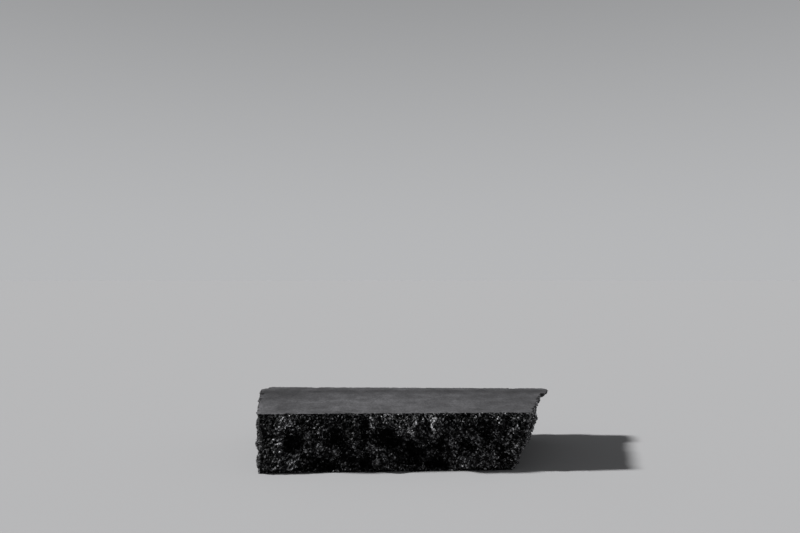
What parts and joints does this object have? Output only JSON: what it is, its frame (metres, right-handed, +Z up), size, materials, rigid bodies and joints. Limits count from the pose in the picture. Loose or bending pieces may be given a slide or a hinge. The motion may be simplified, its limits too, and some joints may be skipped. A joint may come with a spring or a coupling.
{
  "type": "split-face basalt slab",
  "caption": "Dark stone slab with sawn flat top and base and broken rough sides; a plinth or tray that things stand on.",
  "frame": {"origin": "middle of the slab's bounding box, on the plane that it stands on", "axes": "+Z up, -Y out of the front split face, +X to the right along the slab's length"},
  "size_m": [0.293, 0.1694, 0.05],
  "materials": {
    "basalt": "sawn and honed matt on top and base, rough broken grain on the sides"
  },
  "bodies": {
    "root": {"basalt_slab": "basalt"}
  },
  "joints": []
}
